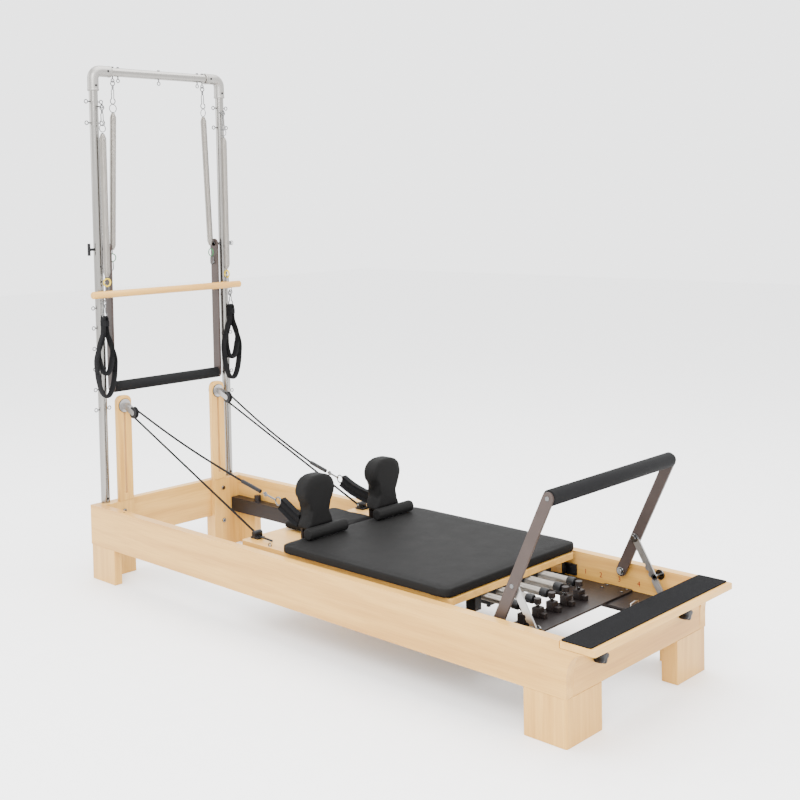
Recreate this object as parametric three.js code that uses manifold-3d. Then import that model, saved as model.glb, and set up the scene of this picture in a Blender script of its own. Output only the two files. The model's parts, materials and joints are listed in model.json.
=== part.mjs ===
// A pilates reformer with a tower, in millimetres: +Z up, +X towards the foot end.
// The head end and the tower are at -X.
// The origin is under the middle of the frame, on the floor.
import * as THREE from "three";
import { mergeVertices } from "three/addons/utils/BufferGeometryUtils.js";
import Module from "manifold-3d";

const wasm = await Module();
wasm.setup();

// Driving sizes of the wooden frame
const frameWidth = 673;
const frameLength = 2088;
const boardThickness = 30;
const railBottom = 124;
const railTop = 267;
const platformReach = 85;
const platformThickness = 18;
const platformDepth = 105;
const matThickness = 3;
const gap = 0.3;

// Legs: boards joined in an L under each corner, each with an inner board that rises behind the end panel
const legEndWidth = 153;
const footLegLength = 131;
const headLegLength = 144;
const innerBoard = 20;
const cornerRadius = 9;

// Tracks on the inner faces of the rails, with a wide shelf at the foot end for the spring bar
const trackWidth = 40;
const trackBottom = 132;
const trackTop = 187;
const trackFootEnd = 138;
const shelfLength = 340;
const shelfWidth = 146.5;
const shelfThickness = 5;
const stopSetback = 187;
const stopRadius = 13;
const stopHeight = 24;

// Carriage
const carriageFoot = 409;
const carriageBoardLength = 891;
const carriageBoardClear = 22.5;
const carriageBoardThickness = 18;
const carriageBoardTop = 271;
const padLength = 681;
const padClear = 4.5;
const padThickness = 31;
const padCornerRadius = 28;
const headrestLength = 196;
const headrestHalf = 115;
const headrestClear = 5;
const wheelRadius = 22;
const wheelWidth = 18;
const wheelBore = 5.5;
const axleRadius = 4.5;
const frontWheelSetback = 61;
const rearWheelInset = 70;
const hangerThickness = 5;

// Carriage springs and the spring bar
const springCount = 5;
const springPitch = 65;
const springRadius = 12.5;
const springClear = 1.5;
const springCupRadius = 14.5;
const springCupLength = 24;
const springFoot = 300;
const springLength = 560;
const springBarFoot = 213;
const springBarWidth = 100;
const springBarClear = 6.5;
const springBarThickness = 6;
const barKnobRadius = 11;
const barKnobHeight = 52;
const barKnobHead = 14;
const barKnobStem = 5;
const barKnobGap = 1;

// Shoulder rests
const shoulderSetback = 1090;
const shoulderY = 152;
const shoulderWidth = 128;
const shoulderPadThickness = 58;
const shoulderPadBottom = 322;
const shoulderPadTop = 492;
const shoulderWaist = 0.72;
const rollRadius = 19;
const rollLength = 165;
const rollClearance = 1;
const postWidth = 60;
const postThickness = 8;
const postTop = 430;

// Footbar and its struts
const footbarPivotSetback = 248;
const footbarPivotHeight = 245;
const footbarReach = 391;
const gripTubeRadius = 13;
const footbarLean = THREE.MathUtils.degToRad(25.2);
const footbarArmWidth = 32;
const footbarArmThickness = 8;
const footbarArmInset = 12;
const footbarFoamRadius = 21;
const strutThickness = 5;
const strutWidth = 22;
const strutAlongArm = 121;
const strutLength = 172;
const strutAngle = THREE.MathUtils.degToRad(30.5);
const strutArmGap = 1;
const notchFirst = 80;
const notchPitch = 21;
const notchCount = 3;
const notchRadius = 5.5;

// Risers with the cord pulleys
const riserWidth = 60;
const riserThickness = 19;
const riserTop = 652;
const riserCorner = 22;
const slotWidth = 8;
const slotFloor = 27;
const slotTopInset = 28;
const pulleyBoltInset = 36;
const pulleyForward = 60;
const pulleyDrop = 20;
const sheaveRadius = 21;
const sheaveWidth = 13;
const grooveRadius = 12;
const grooveWidth = 8.4;
const cheekThickness = 2.5;
const yokeWidth = 20;
const cordRadius = 3.5;
const wrapClear = 3;
const wrapSteps = 8;
const cordSteps = 80;
const washerRadius = 24;
const washerThickness = 4;
const knobRadius = 18;
const knobThickness = 18;

// Tower
const uprightInset = 23.5;
const uprightOffset = 1;
const tubeRadius = 16;
const elbowRadius = 20;
const elbowLeg = 70;
const towerAxisTop = 1825;

// Push-through bar
const pushArmInset = 41;
const pushArmThickness = 8;
const pushArmWidth = 40;
const pushPivotHeight = 1187;
const pushBarHeight = 683;
const pushFoamRadius = 20;
const pinReach = 26;
const pinRadius = 5;
const pinGripLength = 44;

// Roll-down bar on its two springs, with a strap handle at each end
const hangForward = 35;
const rollDownSpringInset = 11;
const towerSpringRadius = 13;
const towerSpringTaper = 16;
const rollDownSpringTop = 1599;
const rollDownSpringBottom = 1088;
const dowelHeight = 1025;
const dowelRadius = 13;
const dowelOverhang = 52;
const strapTop = 948;
const strapBottom = 655;
const strapWidth = 84;
const strapThickness = 20;
const strapTail = 16;
const strapOutset = 3.5;

// Springs of the push-through bar
const pushSpringTopInset = 39;
const pushSpringBottomInset = 20;
const pushSpringTop = 1678;
const pushSpringBottom = 1182;
const pushSpringRadius = 12;

// Places worked out from the sizes above
const uprightSetback = boardThickness / 2 + uprightOffset;
const headReach = Math.max(pushArmWidth / 2, elbowRadius) - uprightSetback;
const footFace = (frameLength + headReach - platformReach) / 2;
const headFace = footFace - frameLength;
const halfWidth = frameWidth / 2;
const railInner = halfWidth - boardThickness;
const panelHalf = railInner - gap;
const shelfEdge = railInner - shelfWidth;
const carriageBoardHalf = railInner - carriageBoardClear;
const padHalf = railInner - padClear;
const springBarHalf = railInner - springBarClear;
const uprightY = railInner - uprightInset;
const pushArmY = uprightY - pushArmInset;
const rollDownSpringY = uprightY - rollDownSpringInset;
const strapY = uprightY + strapOutset;
const dowelLength = 2 * (uprightY + dowelOverhang);
const pushSpringTopY = pushArmY - pushSpringTopInset;
const pushSpringBottomY = pushArmY - pushSpringBottomInset;
const riserInner = halfWidth - legEndWidth;
const slotBottom = railTop + slotFloor;
const slotTop = riserTop - slotTopInset;
const pulleyBoltHeight = riserTop - pulleyBoltInset;
const uprightX = headFace + uprightSetback;
const riserX = headFace + boardThickness + gap + innerBoard / 2;
const riserY = riserInner + riserWidth / 2;
const wrapRadius = grooveRadius + cordRadius + wrapClear;
const pulleyX = riserX + riserThickness / 2 + pulleyForward;
const pulleyZ = pulleyBoltHeight - pulleyDrop;
const platformBottom = railTop - platformThickness;
const carriageHead = footFace - carriageFoot - carriageBoardLength;
const carriageBoardBottom = carriageBoardTop - carriageBoardThickness;
const springHeight = carriageBoardBottom - springClear - springRadius;
const padBottom = carriageBoardTop + gap;
const padTop = padBottom + padThickness;
const padHead = footFace - carriageFoot - padLength;
const wheelY = railInner - trackWidth / 2;
const wheelZ = trackTop + gap + wheelRadius;
const frontWheelX = footFace - carriageFoot - frontWheelSetback;
const rearWheelX = carriageHead + rearWheelInset;
const shoulderX = footFace - shoulderSetback;
const armPivotX = footFace - footbarPivotSetback;
const armY = railInner - footbarArmInset - footbarArmThickness / 2;
const strutY = armY - (footbarArmThickness + strutThickness) / 2 - strutArmGap;
const springBarX = footFace - springBarFoot - springBarWidth / 2;
const hangX = uprightX + hangForward;

const sides = [
  ["near", -1],
  ["far", 1],
];

// Materials

function material(color, roughness, metalness = 0) {
  return new THREE.MeshStandardMaterial({ color, roughness, metalness });
}

const maple = () => material("#e3c190", 0.55);
const bronze = () => material("#3a3230", 0.45, 0.5);
const armBronze = () => material("#7a6a64", 0.4, 0.6);
const steel = () => material("#c9c7c2", 0.3, 0.9);
const upholstery = () => material("#26272a", 0.6);
const foam = () => material("#1d1e20", 0.8);
const plastic = () => material("#141416", 0.5);
const webbing = () => material("#101012", 0.9);
const grip = () => material("#2b2c2f", 0.95);

// Shape helpers: each returns a closed BufferGeometry

function box(x0, x1, y0, y1, z0, z1) {
  const made = new THREE.BoxGeometry(x1 - x0, y1 - y0, z1 - z0);
  return made.translate((x0 + x1) / 2, (y0 + y1) / 2, (z0 + z1) / 2);
}

// A cylinder of the given length along Z, Y or X, with its middle at the point
function rod(radius, length, axis, x, y, z, segments = 16, endRadius = radius) {
  const made = new THREE.CylinderGeometry(endRadius, radius, length, segments);
  if (axis === "z") made.rotateX(Math.PI / 2);
  if (axis === "x") made.rotateZ(-Math.PI / 2);
  return made.translate(x, y, z);
}

// A shape drawn in X and Y, extruded upwards between two heights
function prismZ(shape, z0, z1, curveSegments = 6) {
  const made = new THREE.ExtrudeGeometry(shape, { depth: z1 - z0, bevelEnabled: false, curveSegments });
  return made.translate(0, 0, z0);
}

// A shape drawn in X and Z, extruded along Y between two places
function prismY(shape, y0, y1, curveSegments = 6) {
  const made = new THREE.ExtrudeGeometry(shape, { depth: y1 - y0, bevelEnabled: false, curveSegments });
  return made.rotateX(Math.PI / 2).translate(0, y1, 0);
}

// A shape drawn in Y and Z, extruded along X between two places
function prismX(shape, x0, x1, curveSegments = 6) {
  const made = new THREE.ExtrudeGeometry(shape, { depth: x1 - x0, bevelEnabled: false, curveSegments });
  return made.rotateY(Math.PI / 2).rotateX(Math.PI / 2).translate(x0, 0, 0);
}

function polygon(points) {
  return new THREE.Shape(points.map(([a, b]) => new THREE.Vector2(a, b)));
}

// A slot outline with round ends, from one centre to the other
function stadium(from, to, width) {
  const turn = Math.atan2(to[1] - from[1], to[0] - from[0]);
  const shape = new THREE.Shape();
  shape.absarc(to[0], to[1], width / 2, turn - Math.PI / 2, turn + Math.PI / 2, false);
  shape.absarc(from[0], from[1], width / 2, turn + Math.PI / 2, turn + (3 * Math.PI) / 2, false);
  return shape;
}

function roundedRectangle(x0, x1, y0, y1, radius) {
  const shape = new THREE.Shape();
  shape.absarc(x1 - radius, y1 - radius, radius, 0, Math.PI / 2, false);
  shape.absarc(x0 + radius, y1 - radius, radius, Math.PI / 2, Math.PI, false);
  shape.absarc(x0 + radius, y0 + radius, radius, Math.PI, (3 * Math.PI) / 2, false);
  shape.absarc(x1 - radius, y0 + radius, radius, (3 * Math.PI) / 2, 2 * Math.PI, false);
  return shape;
}

// A round profile turned about its own axis, which then lies along Y
function turnedY(profile, x, y, z, segments = 24) {
  const points = profile.map(([r, h]) => new THREE.Vector2(r, h));
  return new THREE.LatheGeometry(points, segments).translate(x, y, z);
}

// Joining and cutting

function solid(geometry) {
  const bare = geometry.clone();
  bare.deleteAttribute("normal");
  bare.deleteAttribute("uv");
  const merged = mergeVertices(bare, 1e-4);
  return new wasm.Manifold(
    new wasm.Mesh({
      numProp: 3,
      vertProperties: merged.attributes.position.array,
      triVerts: new Uint32Array(merged.index.array),
    }),
  );
}

function geometryOf(made) {
  const mesh = made.getMesh();
  const geometry = new THREE.BufferGeometry();
  geometry.setAttribute("position", new THREE.BufferAttribute(new Float32Array(mesh.vertProperties), 3));
  geometry.setIndex(new THREE.BufferAttribute(new Uint32Array(mesh.triVerts), 1));
  geometry.computeVertexNormals();
  return geometry;
}

function join(...geometries) {
  return geometryOf(geometries.map(solid).reduce((a, b) => a.add(b)));
}

function cut(geometry, ...tools) {
  return geometryOf(tools.map(solid).reduce((a, b) => a.subtract(b), solid(geometry)));
}

const reformer = new THREE.Group();

function add(name, geometry, look, place = reformer) {
  const mesh = new THREE.Mesh(geometry, look);
  mesh.name = name;
  place.add(mesh);
  return mesh;
}

// Mirrors a range so that it lies on the chosen side of the middle plane
function across(side, inner, outer) {
  return side < 0 ? [-outer, -inner] : [inner, outer];
}

// Wooden frame

function railShape() {
  const coveDepth = platformReach - 17;
  const coveBottom = railBottom + 41;
  const shape = new THREE.Shape();
  shape.moveTo(headFace, railBottom);
  shape.lineTo(footFace, railBottom);
  shape.lineTo(footFace, coveBottom);
  shape.quadraticCurveTo(footFace, platformBottom - gap, footFace + coveDepth, platformBottom - gap);
  shape.lineTo(footFace + platformReach - platformDepth - gap, platformBottom - gap);
  shape.lineTo(footFace + platformReach - platformDepth - gap, railTop);
  shape.lineTo(headFace, railTop);
  return shape;
}

function sideRails() {
  for (const [label, side] of sides) {
    const [y0, y1] = across(side, railInner, halfWidth);
    add(`side_rail_${label}`, prismY(railShape(), y0, y1, 10), maple());
  }
}

function endPanels() {
  const head = box(headFace, headFace + boardThickness, -panelHalf, panelHalf, railBottom, railTop);
  add("head_panel", head, maple());
  const footTop = platformBottom - gap;
  const foot = box(footFace - boardThickness, footFace, -panelHalf, panelHalf, railBottom, footTop);
  add("foot_panel", foot, maple());
}

// The outline of a leg seen from above, for the corner at the given end and side; its outer corner is rounded
function legShape(face, inward, side, length) {
  const p = (a, b) => new THREE.Vector2(face + inward * a, side * (halfWidth - b));
  const shape = new THREE.Shape();
  const first = p(cornerRadius, 0);
  shape.moveTo(first.x, first.y);
  for (const [a, b] of [
    [length, 0],
    [length, boardThickness],
    [boardThickness, boardThickness],
    [boardThickness, legEndWidth],
    [0, legEndWidth],
    [0, cornerRadius],
  ]) {
    const q = p(a, b);
    shape.lineTo(q.x, q.y);
  }
  const corner = p(0, 0);
  shape.quadraticCurveTo(corner.x, corner.y, first.x, first.y);
  return shape;
}

function leg(name, face, inward, side, length, top) {
  const lower = prismZ(legShape(face, inward, side, length), 0, railBottom - gap, 4);
  const x0 = face + inward * (boardThickness + gap);
  const x1 = x0 + inward * innerBoard;
  const [y0, y1] = across(side, halfWidth - legEndWidth, panelHalf);
  const riserBoard = box(Math.min(x0, x1), Math.max(x0, x1), y0, y1, 0, top);
  const heel = box(
    Math.min(face + inward * (boardThickness - 1), x1),
    Math.max(face + inward * (boardThickness - 1), x1),
    y0,
    y1,
    0,
    railBottom - gap,
  );
  add(name, join(lower, heel, riserBoard), maple());
}

function legs() {
  for (const [label, side] of sides) {
    leg(`leg_head_${label}`, headFace, 1, side, headLegLength, railTop);
    leg(`leg_foot_${label}`, footFace, -1, side, footLegLength, platformBottom - gap);
  }
}

function platform() {
  const x0 = footFace + platformReach - platformDepth;
  const x1 = footFace + platformReach;
  const board = roundedRectangle(x0, x1, -halfWidth, halfWidth, 5);
  add("platform_board", prismZ(board, platformBottom, railTop, 3), maple());
  const mat = roundedRectangle(x0 + 1, x1 - 14, -halfWidth + 3, halfWidth - 3, 8);
  add("platform_mat", prismZ(mat, railTop + gap, railTop + gap + matThickness, 4), grip());
}

// Dark tracks with the head-end stops

function tracks() {
  const start = headFace + boardThickness + innerBoard + 2 * gap;
  const end = footFace - trackFootEnd;
  for (const [label, side] of sides) {
    const [b0, b1] = across(side, railInner - trackWidth, railInner - gap);
    const beam = box(start, end, b0, b1, trackBottom, trackTop);
    const [s0, s1] = across(side, shelfEdge, railInner - trackWidth + 1);
    const shelf = box(end - shelfLength, end, s0, s1, trackTop - shelfThickness, trackTop);
    const stopX = headFace + stopSetback;
    const stop = rod(stopRadius, stopHeight, "z", stopX, side * wheelY, trackTop + stopHeight / 2 - 0.5, 12);
    add(`track_${label}`, join(beam, shelf, stop), bronze());
  }
}

// Risers, pulley blocks, sheaves

// A riser's outline in Y and Z: square at the foot, round at both top corners
function riserShape(y) {
  const [y0, y1] = [y - riserWidth / 2, y + riserWidth / 2];
  const shoulder = riserTop - riserCorner;
  const shape = new THREE.Shape();
  shape.moveTo(y0, railTop + gap);
  shape.lineTo(y1, railTop + gap);
  shape.lineTo(y1, shoulder);
  shape.absarc(y1 - riserCorner, shoulder, riserCorner, 0, Math.PI / 2);
  shape.absarc(y0 + riserCorner, shoulder, riserCorner, Math.PI / 2, Math.PI);
  shape.lineTo(y0, railTop + gap);
  return shape;
}

function risers() {
  for (const [label, side] of sides) {
    const y = side * riserY;
    const post = prismX(riserShape(y), riserX - riserThickness / 2, riserX + riserThickness / 2, 6);
    const slot = box(riserX - 20, riserX + 20, y - slotWidth / 2, y + slotWidth / 2, slotBottom, slotTop);
    add(`riser_${label}`, cut(post, slot), maple());
  }
}

function pulleyBlock(label, side) {
  const y = side * riserY;
  const front = riserX + riserThickness / 2 + gap;
  const back = riserX - riserThickness / 2 - gap;
  const washerX = front + washerThickness / 2;
  const washer = rod(washerRadius, washerThickness, "x", washerX, y, pulleyBoltHeight, 20);
  const stem = rod(3.4, front - back + 2, "x", riserX, y, pulleyBoltHeight, 8);
  const knob = rod(knobRadius, knobThickness, "x", back - knobThickness / 2, y, pulleyBoltHeight, 10);
  const cheekOuter = sheaveWidth / 2 + gap + cheekThickness;
  const yoke = prismY(
    stadium([front + washerThickness / 2 + yokeWidth / 2, pulleyBoltHeight], [pulleyX, pulleyZ], yokeWidth),
    y - cheekOuter,
    y + cheekOuter,
    5,
  );
  const clearance = rod(sheaveRadius + 2, sheaveWidth + 2 * gap, "y", pulleyX, y, pulleyZ, 20);
  const axle = rod(axleRadius, sheaveWidth + 2, "y", pulleyX, y, pulleyZ, 10);
  const carved = cut(yoke, clearance);
  add(`pulley_block_${label}`, join(washer, stem, knob, carved, axle), steel());
}

function sheave(label, side) {
  const half = sheaveWidth / 2;
  const groove = grooveWidth / 2;
  const profile = [
    [wheelBore, -half],
    [sheaveRadius, -half],
    [sheaveRadius, -groove],
    [grooveRadius, -groove],
    [grooveRadius, groove],
    [sheaveRadius, groove],
    [sheaveRadius, half],
    [wheelBore, half],
    [wheelBore, -half],
  ];
  add(`pulley_wheel_${label}`, turnedY(profile, pulleyX, side * riserY, pulleyZ, 20), plastic());
}

// The two cords: each runs from its cleat on the carriage, round its pulley and back to the shoulder strap.
// Each end is X from the foot face, Y out from the pulley's middle and Z.
const cordEnds = {
  near: { start: [-1262, 22.5, 276], end: [-1372, 1.5, 437] },
  far: { start: [-1262, 14.5, 276], end: [-1510, 1.5, 405] },
};

// The angle on the pulley where a straight run from the point touches the wrapped cord, above or below
function touchAngle(x, z, above) {
  const seen = Math.atan2(z - pulleyZ, x - pulleyX);
  const opening = Math.acos(wrapRadius / Math.hypot(x - pulleyX, z - pulleyZ));
  return above ? seen + opening : seen - opening + 2 * Math.PI;
}

function cord(label, side) {
  const [start, end] = [cordEnds[label].start, cordEnds[label].end].map(
    ([x, y, z]) => new THREE.Vector3(footFace + x, side * (riserY + y), z),
  );
  const first = touchAngle(start.x, start.z, false);
  const last = touchAngle(end.x, end.z, true);
  const wrap = [];
  for (let i = 0; i <= wrapSteps; i++) {
    const angle = first + ((last - first) * i) / wrapSteps;
    const x = pulleyX + wrapRadius * Math.cos(angle);
    const z = pulleyZ + wrapRadius * Math.sin(angle);
    wrap.push(new THREE.Vector3(x, side * riserY, z));
  }
  const lower = [0, 0.4, 0.8, 0.95].map((t) => new THREE.Vector3().lerpVectors(start, wrap[0], t));
  const upper = [0.05, 0.2, 0.6, 1].map((t) => new THREE.Vector3().lerpVectors(wrap[wrapSteps], end, t));
  const path = new THREE.CatmullRomCurve3([...lower, ...wrap, ...upper], false, "centripetal");
  const section = new THREE.Shape();
  section.absarc(0, 0, cordRadius, 0, 2 * Math.PI, false);
  const made = new THREE.ExtrudeGeometry(section, { steps: cordSteps, curveSegments: 4, extrudePath: path });
  add(`cord_${label}`, made, webbing());
}

function cordGear() {
  for (const [label, side] of sides) {
    pulleyBlock(label, side);
    sheave(label, side);
    cord(label, side);
  }
}

// Tower

function tower() {
  const elbowBottom = towerAxisTop - elbowLeg;
  for (const [label, side] of sides) {
    const length = elbowBottom - gap - railTop - gap;
    const middle = (elbowBottom + railTop) / 2;
    add(`tower_upright_${label}`, rod(tubeRadius, length, "z", uprightX, side * uprightY, middle), steel());
  }
  const pieces = [rod(tubeRadius, 2 * uprightY, "y", uprightX, 0, towerAxisTop)];
  for (const [, side] of sides) {
    const y = side * uprightY;
    pieces.push(rod(elbowRadius, elbowLeg, "z", uprightX, y, towerAxisTop - elbowLeg / 2));
    pieces.push(rod(elbowRadius, elbowLeg, "y", uprightX, y - (side * elbowLeg) / 2, towerAxisTop));
    pieces.push(new THREE.SphereGeometry(elbowRadius, 16, 12).translate(uprightX, y, towerAxisTop));
  }
  add("tower_crossbar", join(...pieces), steel());
}

function pushThroughBar() {
  const bottom = [uprightX, pushBarHeight];
  const pivot = [uprightX, pushPivotHeight];
  barFrame("push_bar", pushArmY, pushArmThickness, bottom, pivot, pushArmWidth, pushFoamRadius, armBronze());
  const start = uprightY + tubeRadius + gap;
  const shaft = rod(pinRadius, pinReach, "y", uprightX, -start - pinReach / 2, pushPivotHeight, 10);
  const handleY = -start - pinReach + pinRadius;
  const handle = rod(pinRadius, pinGripLength, "z", uprightX, handleY, pushPivotHeight, 10);
  add("push_bar_pin", join(shaft, handle), plastic());
}

// A spring body that tapers at both ends, from its bottom point to its top point
function taperedSpring(bottom, top, radius) {
  const axis = new THREE.Vector3().subVectors(top, bottom);
  const length = axis.length();
  const tip = radius * 0.45;
  const profile = [
    [0, 0],
    [tip, 0],
    [radius, towerSpringTaper],
    [radius, length - towerSpringTaper],
    [tip, length],
    [0, length],
  ];
  const made = new THREE.LatheGeometry(profile.map(([r, h]) => new THREE.Vector2(r, h)), 12);
  const turn = new THREE.Quaternion().setFromUnitVectors(new THREE.Vector3(0, 1, 0), axis.normalize());
  return made.applyQuaternion(turn).translate(bottom.x, bottom.y, bottom.z);
}

function rollDownBar() {
  add("roll_down_bar", rod(dowelRadius, dowelLength, "y", hangX, 0, dowelHeight), maple());
  for (const [label, side] of sides) {
    const y = side * rollDownSpringY;
    const bottom = new THREE.Vector3(hangX, y, rollDownSpringBottom);
    const top = new THREE.Vector3(hangX, y, rollDownSpringTop);
    add(`roll_down_spring_${label}`, taperedSpring(bottom, top, towerSpringRadius), steel());
    add(`strap_handle_${label}`, strapHandle(side * strapY), webbing());
  }
}

// A hanging loop of padded strap, drawn in Y and Z as a drop-shaped band
function strapHandle(y) {
  const half = strapWidth / 2;
  const belly = strapBottom + 0.38 * (strapTop - strapBottom);
  const outline = (shape, inset) => {
    const w = half - inset;
    const low = strapBottom + inset;
    const high = strapTop - inset * 2.2;
    shape.moveTo(y, low);
    shape.bezierCurveTo(y + w * 0.7, low, y + w, belly - 40, y + w, belly);
    shape.bezierCurveTo(y + w, belly + 60, y + strapTail - inset / 3, high - 60, y + 2, high);
    shape.lineTo(y - 2, high);
    shape.bezierCurveTo(y - strapTail + inset / 3, high - 60, y - w, belly + 60, y - w, belly);
    shape.bezierCurveTo(y - w, belly - 40, y - w * 0.7, low, y, low);
    return shape;
  };
  const shape = outline(new THREE.Shape(), 0);
  shape.holes.push(outline(new THREE.Path(), 15));
  return prismX(shape, hangX - strapThickness / 2, hangX + strapThickness / 2, 8);
}

function pushSprings() {
  for (const [label, side] of sides) {
    const bottom = new THREE.Vector3(uprightX, side * pushSpringBottomY, pushSpringBottom);
    const top = new THREE.Vector3(uprightX, side * pushSpringTopY, pushSpringTop);
    add(`push_bar_spring_${label}`, taperedSpring(bottom, top, pushSpringRadius), steel());
  }
}

// Carriage

function carriageBoard() {
  const x1 = footFace - carriageFoot;
  const board = prismZ(
    roundedRectangle(carriageHead, x1, -carriageBoardHalf, carriageBoardHalf, 12),
    carriageBoardBottom,
    carriageBoardTop,
    4,
  );
  const pieces = [board];
  for (const x of [frontWheelX, rearWheelX]) {
    for (const [, side] of sides) {
      const inner = wheelY - wheelWidth / 2 - 2 - hangerThickness;
      const [y0, y1] = across(side, inner, inner + hangerThickness);
      const hangerBottom = wheelZ - axleRadius - 4;
      pieces.push(box(x - 18, x + 18, y0, y1, hangerBottom, carriageBoardBottom + 1));
      const pinLength = hangerThickness + wheelWidth + 4;
      pieces.push(rod(axleRadius, pinLength, "y", x, side * (inner + pinLength / 2), wheelZ, 10));
    }
  }
  const anchor = footFace - springFoot - springLength;
  const anchorHalf = ((springCount - 1) / 2) * springPitch + springCupRadius;
  const anchorBottom = springHeight - 10;
  pieces.push(box(anchor - 8, anchor - gap, -anchorHalf, anchorHalf, anchorBottom, carriageBoardBottom + 1));
  add("carriage_board", join(...pieces), maple());
}

function carriagePad() {
  const x0 = padHead;
  const x1 = footFace - carriageFoot - 3;
  const shape = roundedRectangle(x0, x1, -padHalf, padHalf, padCornerRadius);
  add("carriage_pad", prismZ(shape, padBottom, padTop, 5), upholstery());
}

function headrest() {
  const x1 = padHead - headrestClear;
  const shape = roundedRectangle(x1 - headrestLength, x1, -headrestHalf, headrestHalf, 18);
  add("headrest", prismZ(shape, padBottom + 4, padTop, 4), upholstery());
}

function loadWheels() {
  for (const [end, x] of [["front", frontWheelX], ["rear", rearWheelX]]) {
    for (const [label, side] of sides) {
      const half = wheelWidth / 2;
      const profile = [
        [wheelBore, -half],
        [wheelRadius - 2, -half],
        [wheelRadius, -half + 2],
        [wheelRadius, half - 2],
        [wheelRadius - 2, half],
        [wheelBore, half],
        [wheelBore, -half],
      ];
      add(`wheel_${end}_${label}`, turnedY(profile, x, side * wheelY, wheelZ, 20), plastic());
    }
  }
}

function carriageSprings() {
  const x1 = footFace - springFoot;
  for (let i = 0; i < springCount; i++) {
    const y = (i - (springCount - 1) / 2) * springPitch;
    const coil = rod(springRadius, springLength, "x", x1 - springLength / 2, y, springHeight, 12);
    const cup = rod(springCupRadius, springCupLength, "x", x1 - springCupLength / 2, y, springHeight, 12);
    add(`carriage_spring_${i + 1}`, join(coil, cup), steel());
  }
}

function springBar() {
  const half = springBarWidth / 2;
  const z0 = trackTop + gap;
  const z1 = z0 + springBarThickness;
  const shape = roundedRectangle(springBarX - half, springBarX + half, -springBarHalf, springBarHalf, 8);
  const pieces = [prismZ(shape, z0, z1, 3)];
  const knobX = footFace - springFoot + barKnobGap + barKnobRadius;
  const headZ = z1 + barKnobHeight - barKnobHead / 2;
  for (let i = 0; i < springCount; i++) {
    const y = (i - (springCount - 1) / 2) * springPitch;
    pieces.push(rod(barKnobStem, barKnobHeight, "z", knobX, y, z1 - 1 + barKnobHeight / 2, 10));
    pieces.push(rod(barKnobRadius, barKnobHead, "z", knobX, y, headZ, 12));
  }
  add("spring_bar", join(...pieces), bronze());
}

// Shoulder rests: a shaped pad on a post, with a padded roll at its foot

function shoulderPadShape(side) {
  const y = side * shoulderY;
  const half = shoulderWidth / 2;
  const height = shoulderPadTop - shoulderPadBottom;
  const waist = shoulderPadTop - shoulderWaist * height;
  const narrow = half * 0.78;
  const shape = new THREE.Shape();
  shape.moveTo(y - half * 0.86, shoulderPadBottom);
  shape.lineTo(y + half * 0.86, shoulderPadBottom);
  shape.quadraticCurveTo(y + narrow, waist - 20, y + narrow, waist);
  shape.bezierCurveTo(y + narrow, waist + 30, y + half, shoulderPadTop - 70, y + half, shoulderPadTop - 50);
  shape.bezierCurveTo(y + half, shoulderPadTop - 14, y + half * 0.6, shoulderPadTop, y, shoulderPadTop);
  const crown = shoulderPadTop - 14;
  shape.bezierCurveTo(y - half * 0.6, shoulderPadTop, y - half, crown, y - half, shoulderPadTop - 50);
  shape.bezierCurveTo(y - half, shoulderPadTop - 70, y - narrow, waist + 30, y - narrow, waist);
  shape.quadraticCurveTo(y - narrow, waist - 20, y - half * 0.86, shoulderPadBottom);
  return shape;
}

function shoulderRests() {
  const half = shoulderPadThickness / 2;
  for (const [label, side] of sides) {
    const y = side * shoulderY;
    const pad = prismX(shoulderPadShape(side), shoulderX - half, shoulderX + half, 5);
    add(`shoulder_pad_${label}`, pad, upholstery());
    const postX1 = shoulderX - half - gap;
    const postX0 = postX1 - postThickness;
    const post = box(postX0, postX1, y - postWidth / 2, y + postWidth / 2, carriageBoardTop + gap, postTop);
    add(`shoulder_post_${label}`, post, bronze());
    const rollX = shoulderX + half + rollClearance + rollRadius;
    const rollZ = padTop + gap + rollRadius;
    add(`shoulder_roll_${label}`, rod(rollRadius, rollLength, "y", rollX, y, rollZ, 14), upholstery());
  }
}

// Padded strap from each shoulder post to its cord, drawn in X and Z.
// Each point is X from the foot face and Z.
const strapShapes = {
  near: [
    [-1206, 365],
    [-1160, 344],
    [-1128, 330],
    [-1124, 372],
    [-1160, 384],
    [-1212, 404],
  ],
  far: [
    [-1338, 360],
    [-1250, 324],
    [-1180, 312],
    [-1128, 310],
    [-1124, 350],
    [-1180, 350],
    [-1250, 364],
    [-1318, 390],
  ],
};

function shoulderStraps() {
  const y0 = shoulderY + postWidth / 2 + 2;
  for (const [label, side] of sides) {
    const [a, b] = across(side, y0, y0 + 14);
    const points = strapShapes[label].map(([x, z]) => [footFace + x, z]);
    add(`shoulder_strap_${label}`, prismY(polygon(points), a, b), webbing());
  }
}

// Footbar

// Two flat arms joined by a tube, and the foam sleeve round the tube
function barFrame(name, halfSpan, thickness, armFrom, armTo, width, foamRadius, look) {
  const pieces = [];
  for (const [, side] of sides) {
    const [y0, y1] = across(side, halfSpan - thickness / 2, halfSpan + thickness / 2);
    pieces.push(prismY(stadium(armFrom, armTo, width), y0, y1, 8));
  }
  const [x, z] = name === "footbar" ? armTo : armFrom;
  pieces.push(rod(gripTubeRadius, 2 * halfSpan, "y", x, 0, z, 14));
  add(`${name}_frame`, join(...pieces), look);
  const half = halfSpan - thickness / 2 - gap;
  const bore = gripTubeRadius + gap;
  const profile = [
    [bore, -half],
    [foamRadius, -half],
    [foamRadius, half],
    [bore, half],
    [bore, -half],
  ];
  add(`${name}_grip`, turnedY(profile, x, 0, z, 20), foam());
}

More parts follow.
